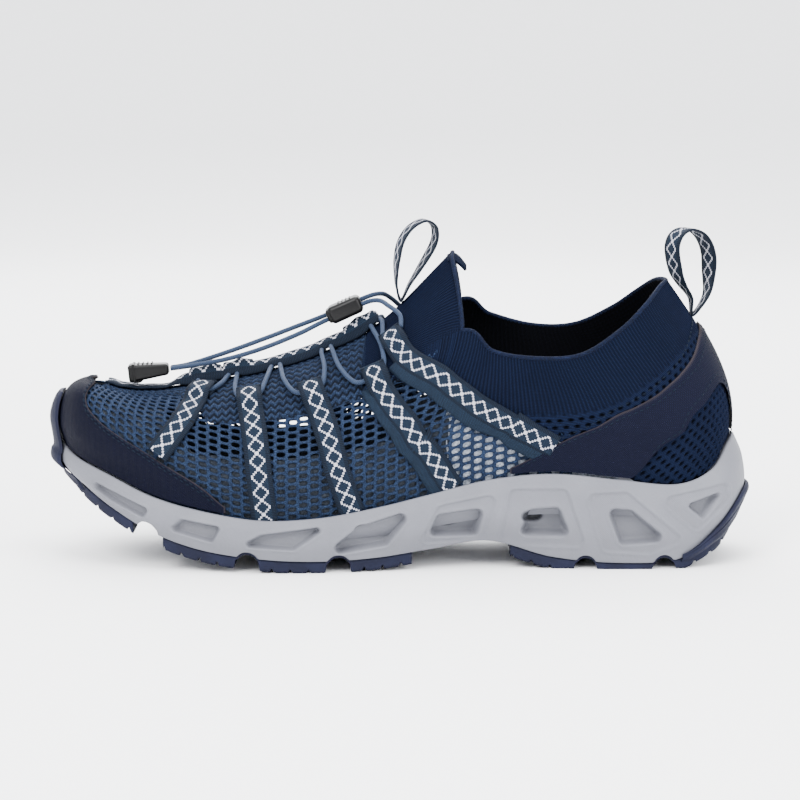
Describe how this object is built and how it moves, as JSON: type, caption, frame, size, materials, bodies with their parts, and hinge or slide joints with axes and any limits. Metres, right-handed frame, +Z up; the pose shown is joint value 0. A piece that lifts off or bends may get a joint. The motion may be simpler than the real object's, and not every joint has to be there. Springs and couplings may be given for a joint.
{
  "type": "water shoe",
  "caption": "Slip-on water shoe: hollow cloth upper open at the collar, tape straps with an elastic lace and cord lock, grooved foam sole and rubber treads.",
  "frame": {"origin": "on the ground, under the middle of the heel's rubber lug", "axes": "+Z up, +X from the toe to the heel along the sole, -Y out of the outer side of the left foot"},
  "size_m": [0.2939, 0.1011, 0.1407],
  "materials": {
    "upper": "matte knit and mesh",
    "overlay": "matte coated cloth",
    "tape": "woven tape",
    "lace": "braided elastic",
    "plastic": "satin black",
    "insole": "matte cloth on foam",
    "foam": "matte light grey foam",
    "rubber": "matte navy rubber"
  },
  "bodies": {
    "root": {"upper": "upper", "toe_cap": "overlay", "heel_counter": "overlay", "strap_outer_1": "tape", "strap_outer_2": "tape", "strap_outer_3": "tape", "strap_outer_4": "tape", "strap_outer_5": "tape", "strap_inner_1": "tape", "strap_inner_2": "tape", "strap_inner_3": "tape", "strap_inner_4": "tape", "strap_inner_5": "tape", "throat_ribbon": "tape", "front_pull_loop": "tape", "heel_pull_loop": "tape", "lace_outer": "lace", "lace_inner": "lace", "free_lace_outer": "lace", "free_lace_inner": "lace", "cord_lock": "plastic", "end_clip": "plastic", "insole": "insole", "midsole": "foam", "outsole_toe": "rubber", "outsole_forefoot": "rubber", "outsole_heel": "rubber"}
  },
  "joints": []
}
